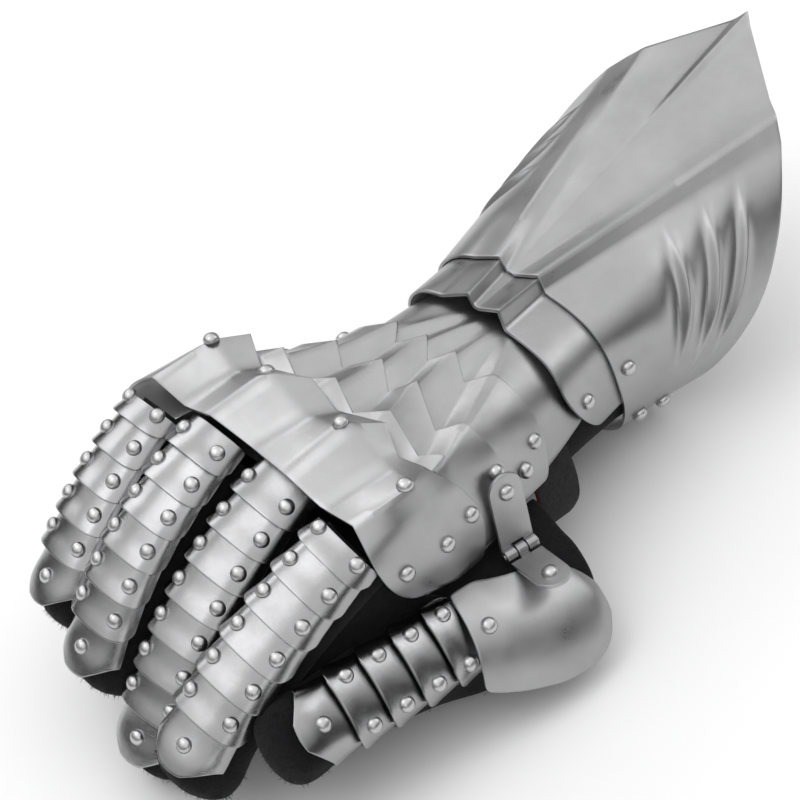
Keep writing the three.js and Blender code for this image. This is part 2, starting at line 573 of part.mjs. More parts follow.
function palmPoint(i, row, wall) {
  const [x, cy, wide, low, top, bottom, seam] = PALM[row];
  const a = (i / AROUND) * 2 * Math.PI;
  const bow = Math.abs(Math.cos(a)) ** 0.7 * Math.sign(Math.cos(a));
  const rise = Math.abs(Math.sin(a)) ** 0.8 * Math.sign(Math.sin(a));
  const half = (rise > 0.1 ? wide : low) - wall;
  const height = (rise > 0 ? top - seam : seam - bottom) - wall;
  const z = seam + height * rise;
  return V(row === 0 ? x - (z - top) * FRONT_LEAN : x, cy + half * bow, z);
}

function palm() {
  const n = PALM.length;
  return turned(AROUND, 2 * n + 1, false, (i, station) => {
    const s = station % (2 * n);
    return s < n ? palmPoint(i, s, 0) : palmPoint(i, 2 * n - 1 - s, LEATHER);
  });
}

// ---- wrist strap: a slack loop under the wrist, its ends tucked inside the plates ----
const STRAP = { width: 20, thick: 1.8, x: -30 };
const STRAP_PATH = [[-41.8, -28], [-41.9, -36], [-43.7, -42], [-47.4, -48], [-50.2, -55], [-50.5, -63], [-44, -74],
  [-30, -80], [-12, -82], [8, -81], [25, -75], [34.5, -64], [36, -55], [34, -48], [31, -42], [29.4, -36], [29.4, -28]];

function strap() {
  const curve = new THREE.CatmullRomCurve3(STRAP_PATH.map(([y, z]) => V(STRAP.x, y, z)));
  const steps = 28;
  const band = sheet(steps, 1, (u, v, side) => {
    const at = curve.getPointAt(u);
    const t = curve.getTangentAt(u);
    const n = V(0, -t.z, t.y);
    at.x += (v - 0.5) * STRAP.width;
    return at.addScaledVector(n, (side - 0.5) * STRAP.thick);
  });
  return band;
}

// ---- assembly ----
addNode('cuff', cuff(), STEEL);
addNode('wrist_lame', wristLame(), STEEL);
addNode('wrist_plate', wristPlate(), STEEL);
metacarpalPlates().forEach((solid, i) => addNode(`metacarpal_plate_${i + 1}`, solid, STEEL));
addNode('knuckle_plate', knucklePlate(), STEEL);
for (const [name, digit] of Object.entries(DIGITS)) {
  for (let k = 0; k < digit.lames; k += 1) addNode(`${name}_lame_${k + 1}`, lame(digit, k), POLISHED);
  addNode(`${name}_tip`, lame(digit, digit.lames), POLISHED);
}
addNode('thumb_plate', thumbPlate(), STEEL);
addNode('hinge_upper_leaf', hingeLeaf(Math.PI, 32, -2.2, [[-6.5, -2.4], [2.4, 6.5]]), STEEL);
addNode('hinge_lower_leaf', hingeLeaf((94 * Math.PI) / 180, 25, 0.8, [[-1.9, 1.9]]), STEEL);
addNode('hinge_pin', hingePin(), STEEL);
addNode('glove_hand', palm(), SUEDE);
for (const name of ['index', 'middle', 'ring', 'little']) addNode(`glove_${name}`, fingerStall(DIGITS[name]), SUEDE);
addNode('glove_thumb', thumbStall(DIGITS.thumb), SUEDE);
addNode('wrist_strap', strap(), STRAP_LEATHER);

group.quaternion.setFromUnitVectors(FLOOR_UP.normalize(), V(0, 0, 1));
group.position.copy(BASE);
export default group;
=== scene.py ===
# Right-hand Gothic gauntlet over a black suede glove, resting on a fingertip, its thumb and its cuff.
# Shapes are worked in millimetres in the hand's own frame (origin on the back of the wrist,
# +X to the elbow, thumb on -Y, +Z out of the back of the hand), then set down on the floor.
import math
import random

import bpy
from mathutils import Matrix, Vector


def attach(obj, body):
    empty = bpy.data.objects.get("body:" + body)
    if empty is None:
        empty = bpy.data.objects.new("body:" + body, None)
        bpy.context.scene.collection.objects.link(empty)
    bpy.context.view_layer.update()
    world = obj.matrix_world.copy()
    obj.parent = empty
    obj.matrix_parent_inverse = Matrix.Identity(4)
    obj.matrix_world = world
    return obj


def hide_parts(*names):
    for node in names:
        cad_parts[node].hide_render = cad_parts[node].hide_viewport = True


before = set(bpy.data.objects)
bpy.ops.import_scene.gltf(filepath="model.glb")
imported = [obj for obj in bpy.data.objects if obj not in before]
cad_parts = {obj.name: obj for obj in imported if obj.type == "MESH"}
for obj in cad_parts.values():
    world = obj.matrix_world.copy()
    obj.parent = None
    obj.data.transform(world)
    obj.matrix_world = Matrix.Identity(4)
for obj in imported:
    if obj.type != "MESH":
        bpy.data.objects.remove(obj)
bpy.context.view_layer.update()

MM = 0.001  # metres in a millimetre
FLOOR_GAP = 0.0004  # metres that the suede keeps above the floor
PLATE = 1.2  # thickness of the plates
LAME = 1.0  # thickness of the finger and thumb lames
LEATHER = 1.8  # thickness of the suede
LAP = 6.0  # how far a hand plate runs under the next
RISE = 2.9  # lift of a hand plate's rear edge over the plate below it
LAME_RISE = 2.5  # lift of a lame from its rear end to its front end
LIP = 0.9  # extra lift of a lame's front edge
PITCH = 13.41  # from one row of finger rivets to the next
RIVET_HALF = 9.35  # half the distance between the two rivets of a lame
LAME_FRONT = 7.0  # length of a lame ahead of its rivets
LAME_BACK = 12.0  # length of a lame behind its rivets
UV_ACROSS = 8.0
UV_ALONG = 4.0
FLOOR_UP = Vector((-0.2141, 0.1069, 0.9709)).normalized()  # the floor's upward direction
TURN = FLOOR_UP.rotation_difference(Vector((0, 0, 1)))
BASE = Vector((34.66, 4.03, 83.83))  # sets the turned hand down on the floor


def placed(p):
    """A point of the hand's frame, in metres on the floor."""
    return (TURN @ Vector(p) + BASE) * MM


def lerp(a, b, t):
    return a + (b - a) * t


def clamp(t, a=0.0, b=1.0):
    return min(b, max(a, t))


def smooth(t):
    c = clamp(t)
    return c * c * (3 - 2 * c)


def table(rows, key):
    """The values of a table at key, between the rows on either side of it."""
    i = 0
    while i < len(rows) - 2 and key > rows[i + 1][0]:
        i += 1
    t = clamp((key - rows[i][0]) / (rows[i + 1][0] - rows[i][0]))
    return [lerp(a, b, t) for a, b in zip(rows[i][1:], rows[i + 1][1:])]


# ---- materials ----
def new_material(name):
    mat = bpy.data.materials.new(name)
    mat.use_nodes = True
    nodes = mat.node_tree.nodes
    return mat, nodes, mat.node_tree.links, nodes["Principled BSDF"]


def node(nodes, kind, **values):
    made = nodes.new(kind)
    for key, value in values.items():
        if key in made.inputs:
            made.inputs[key].default_value = value
        else:
            setattr(made, key, value)
    return made


def ramp(nodes, stops):
    made = nodes.new("ShaderNodeValToRGB")
    made.color_ramp.elements[0].position, made.color_ramp.elements[0].color = stops[0]
    made.color_ramp.elements[1].position, made.color_ramp.elements[1].color = stops[-1]
    for position, color in stops[1:-1]:
        made.color_ramp.elements.new(position).color = color
    return made


def grey(value, blue=0.0):
    return (value, value, value + blue, 1)


def steel(name, dark, light, rough_low, rough_high, bump):
    mat, nodes, links, bsdf = new_material(name)
    bsdf.inputs["Metallic"].default_value = 1.0
    coord = nodes.new("ShaderNodeTexCoord")
    cloud = node(nodes, "ShaderNodeTexNoise", Scale=22.0, Detail=5.0, Roughness=0.6)
    links.new(coord.outputs["Object"], cloud.inputs["Vector"])
    tint = ramp(nodes, [(0.3, grey(dark, 0.004)), (0.72, grey(light, 0.006))])
    links.new(cloud.outputs["Fac"], tint.inputs["Fac"])
    links.new(tint.outputs["Color"], bsdf.inputs["Base Color"])
    stretch = node(nodes, "ShaderNodeMapping", Scale=(0.25, 9.0, 1.0))
    links.new(coord.outputs["UV"], stretch.inputs["Vector"])
    brush = node(nodes, "ShaderNodeTexNoise", Scale=1.1, Detail=6.0, Roughness=0.7)
    links.new(stretch.outputs["Vector"], brush.inputs["Vector"])
    smudge = node(nodes, "ShaderNodeTexNoise", Scale=60.0, Detail=4.0, Roughness=0.55)
    links.new(coord.outputs["Object"], smudge.inputs["Vector"])
    mixed = node(nodes, "ShaderNodeMath", operation="ADD")
    links.new(brush.outputs["Fac"], mixed.inputs[0])
    links.new(smudge.outputs["Fac"], mixed.inputs[1])
    spread = node(nodes, "ShaderNodeMapRange")
    spread.inputs["From Min"].default_value = 0.7
    spread.inputs["From Max"].default_value = 1.3
    spread.inputs["To Min"].default_value = rough_low
    spread.inputs["To Max"].default_value = rough_high
    links.new(mixed.outputs["Value"], spread.inputs["Value"])
    links.new(spread.outputs["Result"], bsdf.inputs["Roughness"])
    wave = node(nodes, "ShaderNodeTexNoise", Scale=38.0, Detail=2.0, Roughness=0.4)
    links.new(coord.outputs["Object"], wave.inputs["Vector"])
    beaten = node(nodes, "ShaderNodeBump", Strength=bump, Distance=0.0016)
    links.new(wave.outputs["Fac"], beaten.inputs["Height"])
    fine = node(nodes, "ShaderNodeBump", Strength=0.3, Distance=0.00012)
    links.new(brush.outputs["Fac"], fine.inputs["Height"])
    links.new(beaten.outputs["Normal"], fine.inputs["Normal"])
    links.new(fine.outputs["Normal"], bsdf.inputs["Normal"])
    return mat


def suede_material(name, low, high, scale):
    mat, nodes, links, bsdf = new_material(name)
    coord = nodes.new("ShaderNodeTexCoord")
    nap = node(nodes, "ShaderNodeTexNoise", Scale=scale, Detail=8.0, Roughness=0.75)
    links.new(coord.outputs["Object"], nap.inputs["Vector"])
    tint = ramp(nodes, [(0.35, low), (0.7, high)])
    links.new(nap.outputs["Fac"], tint.inputs["Fac"])
    links.new(tint.outputs["Color"], bsdf.inputs["Base Color"])
    bsdf.inputs["Roughness"].default_value = 0.95
    bsdf.inputs["Specular IOR Level"].default_value = 0.2
    bsdf.inputs["Sheen Weight"].default_value = 0.05
    bsdf.inputs["Sheen Roughness"].default_value = 0.5
    bump = node(nodes, "ShaderNodeBump", Strength=0.8, Distance=0.0006)
    links.new(nap.outputs["Fac"], bump.inputs["Height"])
    links.new(bump.outputs["Normal"], bsdf.inputs["Normal"])
    return mat


PLATE_STEEL = steel("plate_steel", 0.34, 0.45, 0.25, 0.42, 0.16)
LAME_STEEL = steel("lame_steel", 0.31, 0.43, 0.12, 0.24, 0.28)
RIVET_STEEL = steel("rivet_steel", 0.48, 0.60, 0.24, 0.36, 0.10)
SUEDE = suede_material("suede", (0.003, 0.003, 0.0035, 1), (0.013, 0.013, 0.015, 1), 900.0)
STRAP = suede_material("strap_leather", (0.012, 0.012, 0.013, 1), (0.032, 0.031, 0.033, 1), 700.0)
CUT_EDGE = suede_material("strap_edge", (0.10, 0.028, 0.016, 1), (0.20, 0.06, 0.035, 1), 800.0)


# ---- mesh building ----
def new_piece(name, vertices, faces, uvs, material, replaced):
    mesh = bpy.data.meshes.new(name)
    points = [placed(v) for v in vertices]
    if material is SUEDE:
        for p in points:
            p.z = max(p.z, FLOOR_GAP)
    mesh.from_pydata(points, [], faces)
    if uvs:
        layer = mesh.uv_layers.new(name="along")
        for loop in mesh.loops:
            layer.data[loop.index].uv = uvs[loop.vertex_index]
    mesh.materials.append(material)
    mesh.update()
    piece = bpy.data.objects.new(name, mesh)
    bpy.context.scene.collection.objects.link(piece)
    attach(piece, "root")
    if replaced:
        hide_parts(*replaced)
    return piece


def grid(nu, nv, place, cyclic=False):
    """Vertices, faces and uv of a net of place(i, j); i runs across and j along."""
    across = nu if cyclic else nu + 1
    vertices = [Vector(place(i, j)) for j in range(nv + 1) for i in range(across)]
    faces = []
    for j in range(nv):
        for i in range(nu):
            n = (i + 1) % across
            here, ahead = j * across, (j + 1) * across
            faces.append((here + i, here + n, ahead + n, ahead + i))
    uvs = [(i * UV_ACROSS, j * UV_ALONG) for j in range(nv + 1) for i in range(across)]
    return vertices, faces, uvs


def turned_out(vertices, faces, outward):
    """The faces, turned round if most of them look inwards."""
    score = 0.0
    for f in faces:
        a, b, c = (vertices[k] for k in f[:3])
        middle = sum((vertices[k] for k in f), Vector()) / len(f)
        score += (b - a).cross(c - a).dot(outward(middle))
    return faces if score > 0 else [tuple(reversed(f)) for f in faces]


def from_hand(p):
    """The way out of the hand at a point, square to its length."""
    return Vector((0, p.y, (p.z + 48) * 0.9))


def crease_columns(piece, nu, creases, cyclic=False):
    """Sharpens the edges that run along the given columns."""
    across = nu if cyclic else nu + 1
    layer = piece.data.attributes.new("crease_edge", "FLOAT", "EDGE")
    for edge in piece.data.edges:
        a, b = edge.vertices
        if a % across == b % across and (a % across) in creases:
            layer.data[edge.index].value = creases[a % across]


def plated(piece, thickness, levels=2, bevel=0.22):
    """Turns a net into rounded sheet metal or leather of that thickness."""
    sub = piece.modifiers.new("round", "SUBSURF")
    sub.levels = levels
    sub.render_levels = levels
    thick = piece.modifiers.new("thick", "SOLIDIFY")
    thick.thickness = thickness * MM
    thick.offset = -1
    thick.use_even_offset = True
    if bevel:
        edge = piece.modifiers.new("edge", "BEVEL")
        edge.width = bevel * MM
        edge.segments = 2
        edge.limit_method = "ANGLE"
        edge.angle_limit = math.radians(55)
    for poly in piece.data.polygons:
        poly.use_smooth = True


RIVET_SIDES = 18
RIVET_BANDS = 6
RIVET_FOOT = 0.96  # radius of the foot as a part of the head's
RIVET_SINK = 0.7  # how far the foot goes into the plate
PLATE_RIVET = (3.0, 2.4)  # radius and height
LAME_RIVET = (2.9, 2.3)
HINGE_RIVET = (3.0, 2.3)


def dome(point, normal, r, h):
    """Vertices and faces of a rivet head standing on a surface point."""
    sides = RIVET_SIDES
    profile = [(r * RIVET_FOOT, -RIVET_SINK), (r, 0.0)]
    for band in range(1, RIVET_BANDS):
        a = band * math.pi / (2 * RIVET_BANDS)
        profile.append((r * math.cos(a) ** 0.9, h * math.sin(a)))
    turn = Vector((0, 0, 1)).rotation_difference(Vector(normal).normalized())
    vertices, faces = [], []
    for pr, pz in profile:
        for k in range(sides):
            a = 2 * math.pi * k / sides
            ring = Vector((pr * math.cos(a), pr * math.sin(a), pz))
            vertices.append(Vector(point) + turn @ ring)
    vertices.append(Vector(point) + turn @ Vector((0, 0, h)))
    for j in range(len(profile) - 1):
        for k in range(sides):
            n = (k + 1) % sides
            low, high = j * sides, (j + 1) * sides
            faces.append((low + k, low + n, high + n, high + k))
    last = (len(profile) - 1) * sides
    faces += [(last + k, last + (k + 1) % sides, len(vertices) - 1) for k in range(sides)]
    faces.append(tuple(range(sides - 1, -1, -1)))
    return vertices, faces


def rivets(name, seats):
    """One joined mesh of rivet heads; a seat is (point, normal, radius, height)."""
    vertices, faces = [], []
    for seat in seats:
        more, more_faces = dome(*seat)
        start = len(vertices)
        vertices += more
        faces += [tuple(start + k for k in f) for f in more_faces]
    uvs = [(v.x, v.y) for v in vertices]
    piece = new_piece(name, vertices, faces, uvs, RIVET_STEEL, ())
    for poly in piece.data.polygons:
        poly.use_smooth = len(poly.vertices) < 6
    return piece


# ---- back of the hand ----
BACK = [
    [-97, -57, -50, -57, -38, -55, -27, -50, -18, -46, -12, -35, -15.5, -21, -10.5, -5, -14.5,
     13, -10.5, 29, -14.5, 45, -11, 50, -15, 55, -20, 60, -28, 62.5, -36, 62, -45],
    [-85, -56, -48, -56, -36, -54, -25.5, -50, -16.5, -45.5, -10.5, -36, -14, -20, -8.5, -6, -12.5,
     7, -8.5, 20, -12.5, 35, -9, 42, -14, 48, -19, 54, -27, 57.5, -36, 57, -45],
    [-65, -54.5, -47, -53.5, -35, -50.5, -24, -45, -15.5, -38, -10.2, -27.5, -14.2, -13, -10.2, -5.8, -13.4,
     4.6, -10.2, 13, -13.4, 24, -10.4, 31, -14.5, 37, -19, 43, -26, 46.5, -35, 46.5, -44],
    [-43, -50, -44, -48.5, -32, -44.5, -22, -38, -14.5, -29.5, -10.4, -19.5, -12.4, -11, -10.3, -4, -12,
     2.8, -10.2, 9.6, -12, 16.5, -10.5, 22, -13.5, 27.5, -17, 33, -24, 36, -33, 36, -42],
    [-22, -46, -40, -44.5, -28.5, -40, -18.5, -31, -11.5, -19, -7.6, -16, -7.3, -13, -7, -9, -7,
     -5, -6.9, -2, -7, 1, -6.9, 13, -8.5, 23, -12, 29.5, -19, 32.5, -28, 32.5, -38],
    [-8, -42.5, -38, -41.5, -27.5, -37, -18, -29, -11, -19, -7, -16, -6.6, -13, -6.3, -9, -6.2,
     -5, -6.1, -2, -6.1, 1, -6.1, 12, -7.6, 21, -11.5, 27, -18.5, 29.5, -28, 29.5, -38],
]
COLUMNS = 15
M1_REAR = [-37, -36.5, -37.5, -39, -41, -48, -41, -48, -41, -48, -41.5, -47, -46, -45, -45, -45]
M2_REAR = [-57, -58, -61, -64, -67.5, -73, -62, -69, -61, -70, -63.6, -69, -67, -66, -66, -66]
M3_REAR = [-86, -86, -86, -85, -84, -87, -82, -86.5, -81.5, -86, -80.5, -84, -84, -84, -84, -84]
M2_FRONT = -89.5
M3_FRONT = -98
BACK_ROWS = 8
FOLDS = {5: -1.0, 6: 0.6, 7: -1.0, 8: 0.6, 9: -1.0}  # extra depth and height of the middle columns
FOLD_START = -18  # x from which the folds deepen towards the knuckles
FOLD_RUN = 25
RIDGES = {4: 0.9, 5: 1, 6: 1, 7: 1, 8: 1, 9: 1, 10: 1, 11: 0.6}


def back_point(x, col, lift):
    row = table(BACK, x)
    c = int(round(clamp(col, 0, COLUMNS)))

    def at(k):
        fold = FOLDS.get(k, 0) * smooth((FOLD_START - x) / FOLD_RUN)
        return Vector((x, row[2 * k], row[2 * k + 1] + fold))

    a, b = at(max(c - 1, 0)), at(min(c + 1, COLUMNS))
    n = Vector((0, -(b.z - a.z), b.y - a.y)).normalized()
    return at(c) + n * lift


def back_plate(name, first, last, rear_edge, front_edge, rise, replaced):
    n = last - first

    def place(i, j):
        col = first + i
        v = j / BACK_ROWS
        return back_point(lerp(front_edge(col), rear_edge(col), v), col, v * v * rise)

    vertices, faces, uvs = grid(n, BACK_ROWS, place)
    faces = turned_out(vertices, faces, from_hand)
    piece = new_piece(name, vertices, faces, uvs, PLATE_STEEL, replaced)
    crease_columns(piece, n, {k - first: v for k, v in RIDGES.items()})
    plated(piece, PLATE)


back_plate("wrist_plate_steel", 0, 15, lambda i: -8, lambda i: M1_REAR[i] - LAP, 0, ["wrist_plate"])
back_plate("metacarpal_steel_1", 0, 15, lambda i: M1_REAR[i], lambda i: M2_REAR[i] - LAP, RISE,
           ["metacarpal_plate_1"])
back_plate("metacarpal_steel_2", 0, 15, lambda i: M2_REAR[i], lambda i: M2_FRONT, RISE,
           ["metacarpal_plate_2"])
back_plate("metacarpal_steel_3", 4, 12, lambda i: M3_REAR[i], lambda i: M3_FRONT, RISE + 0.5,
           ["metacarpal_plate_3"])

# ---- knuckle plate ----
KNUCKLE = [
    [(-77.5, -58.3, -48.5), (-77.5, -58.6, -37), (-79, -56.8, -26), (-86, -52.6, -15.5), (-94.6, -45.5, -6.5),
     (-94, -34, -9.5), (-90, -24.5, -2.5), (-91, -2.9, -8.5), (-89.5, 10, -2.5), (-91, 33, -8.5),
     (-85, 44, -3.5), (-88, 52, -10), (-89, 58, -17), (-89, 62, -26), (-88, 63.5, -35), (-87, 62.5, -44)],
    [(-92, -58.8, -49.5), (-96, -59.5, -38), (-100, -58, -26.5), (-103, -55.5, -15), (-106, -51, -4.5),
     (-101, -35.5, -9.5), (-101, -17, -0.5), (-100, 3, -9), (-99, 21, -0.5), (-99, 38, -9),
     (-97, 51, -3), (-98, 60, -11), (-99, 65, -19), (-99, 69, -27), (-98, 70.5, -36), (-96, 69.5, -46)],
    [(-109, -55.5, -49), (-117, -55.5, -43), (-124.5, -55.5, -32), (-125.5, -49.5, -22.6), (-124, -41.5, -16),
     (-123, -26, -17.5), (-123.5, -11.5, -12.5), (-117, 12, -17), (-118.5, 30, -12.5), (-117, 44, -17),
     (-114.5, 63, -16), (-116, 71.5, -21), (-116, 76, -28), (-115, 77.5, -35), (-109, 75.5, -43),
     (-101, 73.5, -48)],
]


KNUCKLE_ROWS = 8


def knuckle_point(i, j):
    r = j / KNUCKLE_ROWS * 2
    a = min(int(r), 1)
    return Vector(KNUCKLE[a][i]).lerp(Vector(KNUCKLE[a + 1][i]), r - a)


vertices, faces, uvs = grid(COLUMNS, KNUCKLE_ROWS, knuckle_point)
faces = turned_out(vertices, faces, from_hand)
knuckle = new_piece("knuckle_steel", vertices, faces, uvs, PLATE_STEEL, ["knuckle_plate"])
crease_columns(knuckle, COLUMNS, {3: 0.6, 4: 1, 5: 0.9, 6: 1, 7: 0.9, 8: 1, 9: 0.9, 10: 1})
plated(knuckle, PLATE)

# ---- cuff ----
# Each column runs from a point of the front rim to a point of the rear rim.
CUFF_MID = (0, 0.2, -0.4, 131, 0, 47.6)
CUFF_NEAR = [
    (0, -1.2, -0.6, 108, -29, 33.6), (0, -12.3, 4, 104, -35, 31.8), (0, -16.3, -1.6, 100, -41, 24.5),
    (0, -24.3, -2.6, 94, -46.5, 18), (0, -32, -4.8, 89, -51, 11), (0.5, -37.5, -8, 84.5, -54.5, 3),
    (1, -41.8, -12.5, 79.5, -57, -5), (2.5, -44.2, -18, 73.5, -59.5, -13.5), (5, -45, -25, 67.5, -60, -22.5),
    (8, -45.3, -33, 61.5, -57.5, -34), (12, -45, -43, 57, -52, -46), (17, -42, -55, 54, -44.5, -56),
    (20, -36.5, -65, 52, -33, -66), (21, -20, -71.5, 51.5, -18, -73),
]
CUFF_FAR = [
    (0, 1.6, -0.4, 107, 28.5, 33), (0, 5.6, 3.6, 105, 34.5, 27.5), (0, 17.4, -2, 100.5, 40, 22),
    (0, 22, -3.5, 95, 45, 14.5), (0, 27, -6.2, 90, 49.5, 6), (0.5, 31, -9.5, 85.5, 53.5, -3),
    (1, 34.5, -14, 80.5, 57, -11), (2.5, 37, -19.5, 75, 59.5, -20), (5, 38.5, -26, 69, 60, -29),
    (8, 39, -34, 63, 58.5, -39), (12, 38.5, -44, 58, 53.5, -50), (17, 35.5, -55, 55, 46, -59),
    (20, 29, -65, 53, 34, -67.5), (21, 13, -71.5, 51.5, 18, -73),
]
CUFF_BASE = (21.5, -3, -73, 51, 0, -75)
CUFF_RING = [CUFF_MID] + CUFF_NEAR + [CUFF_BASE] + CUFF_FAR[::-1]
RING = len(CUFF_RING)
KEEL = 0.14  # columns from the keel's crest to its foot
CUFF_COLUMNS = [0, KEEL] + list(range(1, RING)) + [RING - KEEL]
KEEL_HEIGHT = 2.0
FLUTES = (0.475, 0.645, 0.80)  # where along the cuff each flute's sharp step is
FLUTE_RUN = 0.11  # the hollow's length ahead of the step
FLUTE_LIP = 0.05  # the crest's length behind it
FLUTE_DEPTH = 2.7
FLUTE_CREST = 1.3
FLUTE_ROWS = (-FLUTE_RUN, -0.07, -0.035, -0.008, 0.006, 0.02, FLUTE_LIP)
PLAIN_ROWS = {0.0, 0.04, 0.1, 0.17, 0.24, 0.31, 0.9, 0.95, 1.0}
CUFF_ROWS = sorted(PLAIN_ROWS | {round(f + d, 4) for f in FLUTES for d in FLUTE_ROWS})


def flute(t):
    depth = 0.0
    for f in FLUTES:
        d = t - f
        if -FLUTE_RUN < d <= 0:
            depth -= FLUTE_DEPTH * smooth((d + FLUTE_RUN) / FLUTE_RUN)
        elif 0 < d < FLUTE_LIP:
            depth += FLUTE_CREST * (1 - smooth((d - 0.01) / 0.04))
    return depth


def cuff_point(k, t):
    here, part = CUFF_RING[int(k)], k - int(k)
    c = [lerp(a, b, part) for a, b in zip(here, CUFF_RING[(int(k) + 1) % RING])]
    p = Vector((lerp(c[0], c[3], t), lerp(c[1], c[4], t), lerp(c[2], c[5], t)))
    side = min(k, RING - k)
    out = Vector((-0.2, p.y, p.z + 36)).normalized()
    p += out * flute(t) * smooth((side - 3.2) / 2.2) * smooth((10.4 - side) / 2.4)
    if k == 0:
        p.z += KEEL_HEIGHT * smooth((t - 0.5) / 0.3)
    return p


def cuff_normal(k, t):
    a = cuff_point((k + 1) % RING, t) - cuff_point((k - 1) % RING, t)
    b = cuff_point(k, min(t + 0.02, 1)) - cuff_point(k, max(t - 0.02, 0))
    n = a.cross(b).normalized()
    p = cuff_point(k, t)
    return -n if n.dot(Vector((0, p.y, p.z + 36))) < 0 else n


columns = len(CUFF_COLUMNS)
vertices, faces, uvs = grid(columns, len(CUFF_ROWS) - 1,
                            lambda i, j: cuff_point(CUFF_COLUMNS[i], CUFF_ROWS[j]), cyclic=True)
faces = turned_out(vertices, faces, lambda p: Vector((0, p.y, p.z + 30)))
cuff = new_piece("cuff_steel", vertices, faces, uvs, PLATE_STEEL, ["cuff"])
CUFF_CREASES = {0: 1, KEEL: 0.6, 1: 0.9, 2: 1, 3: 1, 27: 1, 28: 1, 29: 0.9, RING - KEEL: 0.6}
crease_columns(cuff, columns, {CUFF_COLUMNS.index(k): v for k, v in CUFF_CREASES.items()}, cyclic=True)
plated(cuff, PLATE)

# ---- wrist lame ----
LAME_FRONT_EDGE = [
    (-2, -44.6, -44.7), (-12, -47.3, -36), (-18, -46.6, -28), (-22, -44.8, -20.5), (-22, -41.6, -15.2),
    (-22, -36.5, -10.4), (-22, -29.5, -7.7), (-22, -23, -6.3), (-22, -17.3, -5.1), (-22, -13.7, 1.4),
    (-22, -4.4, -2.2), (-22, -3.6, -2.1), (-22, -2.9, -2), (-22, 0.4, 1.8), (-22, 13.2, -5.1),
    (-22, 17.2, -5.8), (-22, 20.8, -6.8), (-22, 24.2, -8.4), (-22, 28, -12.4), (-20, 31, -18.5),
    (-17, 32.8, -25.5), (-11, 33.5, -34), (-2, 34, -44),
]
LAME_UNDER = 1.75  # from the cuff's outer face down to the lame's
LAME_COLUMNS = [11, 10, 9, 8, 7, 6, 5, 4, 3, 2, 1, 0, 29, 28, 27, 26, 25, 24, 23, 22, 21, 20, 19]


def lame_point(i, j):
    k = LAME_COLUMNS[i]
    c = CUFF_RING[k]

    def under(x):
        t = max((x - c[0]) / (c[3] - c[0]), 0)
        return cuff_point(k, t) + cuff_normal(k, t) * -LAME_UNDER

    front = Vector(LAME_FRONT_EDGE[i])
    mid = under(c[0])
    rear = under(max(9, c[0] + 5))
    return front.lerp(mid, j / 4) if j <= 4 else mid.lerp(rear, (j - 4) / 2)


n = len(LAME_COLUMNS) - 1
vertices, faces, uvs = grid(n, 6, lame_point)
faces = turned_out(vertices, faces, from_hand)
wrist_lame = new_piece("wrist_lame_steel", vertices, faces, uvs, PLATE_STEEL, ["wrist_lame"])
crease_columns(wrist_lame, n, {8: 1, 9: 1, 10: 1, 11: 1, 12: 1, 13: 1, 14: 1})
plated(wrist_lame, PLATE)

# ---- digits ----
ARCH = [(-13.3, -5.4), (-12.2, -2.5), (-10.2, -0.4), (-5.5, 1), (0, 1.5), (5.5, 1), (10.2, -0.4),
        (12.2, -2.5), (13.3, -5.4)]
CORNER = [4.5, 1.2, 0, 0, 0, 0, 0, 1.2, 4.5]
TIP_REACH = 5.5  # how much longer a tip is than a lame
TIP_WIDTH = 0.95
TIP_TAPER = 0.22
TIP_CORNER = [9, 8.3, 5, 1, 0, 1, 5, 8.3, 9]
DIGITS = {
    "index": dict(at=(-127.2, -38.6, -24.8), yaw=-14.1, slope=35.6, step=2.9, roll=18.4,
                  lames=6, size=1, start=2.5),
    "middle": dict(at=(-123.2, -2.7, -24.8), yaw=-8, slope=36.3, step=5, roll=7.1,
                   lames=7, size=1.01, start=9),
    "ring": dict(at=(-123.4, 28.9, -20.6), yaw=-6.2, slope=31.6, step=5.9, roll=-0.8,
                 lames=6, size=0.99, start=6.5),
    "little": dict(at=(-121, 59.7, -23.8), yaw=-4.6, slope=35.7, step=5.2, roll=-10.3,
                   lames=5, size=0.98, start=1.5),
    "thumb": dict(at=(-103.6, -68.2, -62.6), yaw=-9.2, slope=5.6, step=0.2, roll=43,
                  lames=4, size=1, start=6),
}


def digit_frame(d, k):
    """The place, forward, side and outward directions of a digit at its rivet row k."""
    yaw = math.radians(d["yaw"])

    def heading(deg):
        a = math.radians(deg)
        return Vector((-math.cos(yaw) * math.cos(a), -math.sin(yaw) * math.cos(a), -math.sin(a)))

    at = Vector(d["at"])
    for i in range(int(math.floor(k))):
        at += heading(d["slope"] + d["step"] * (i + 0.5)) * PITCH * d["size"]
    part = k - math.floor(k)
    deg = d["slope"] + d["step"] * k
    at += heading(deg - d["step"] * part / 2) * PITCH * d["size"] * part
    along = heading(deg)
    flat = Vector((math.sin(yaw), -math.cos(yaw), 0))
    lift = along.cross(flat)
    roll = math.radians(d["roll"])
    side = flat * math.cos(roll) - lift * math.sin(roll)
    return at, along, side, along.cross(side)


def in_digit(f, a, s, n):
    return f[0] + f[1] * a + f[2] * s + f[3] * n


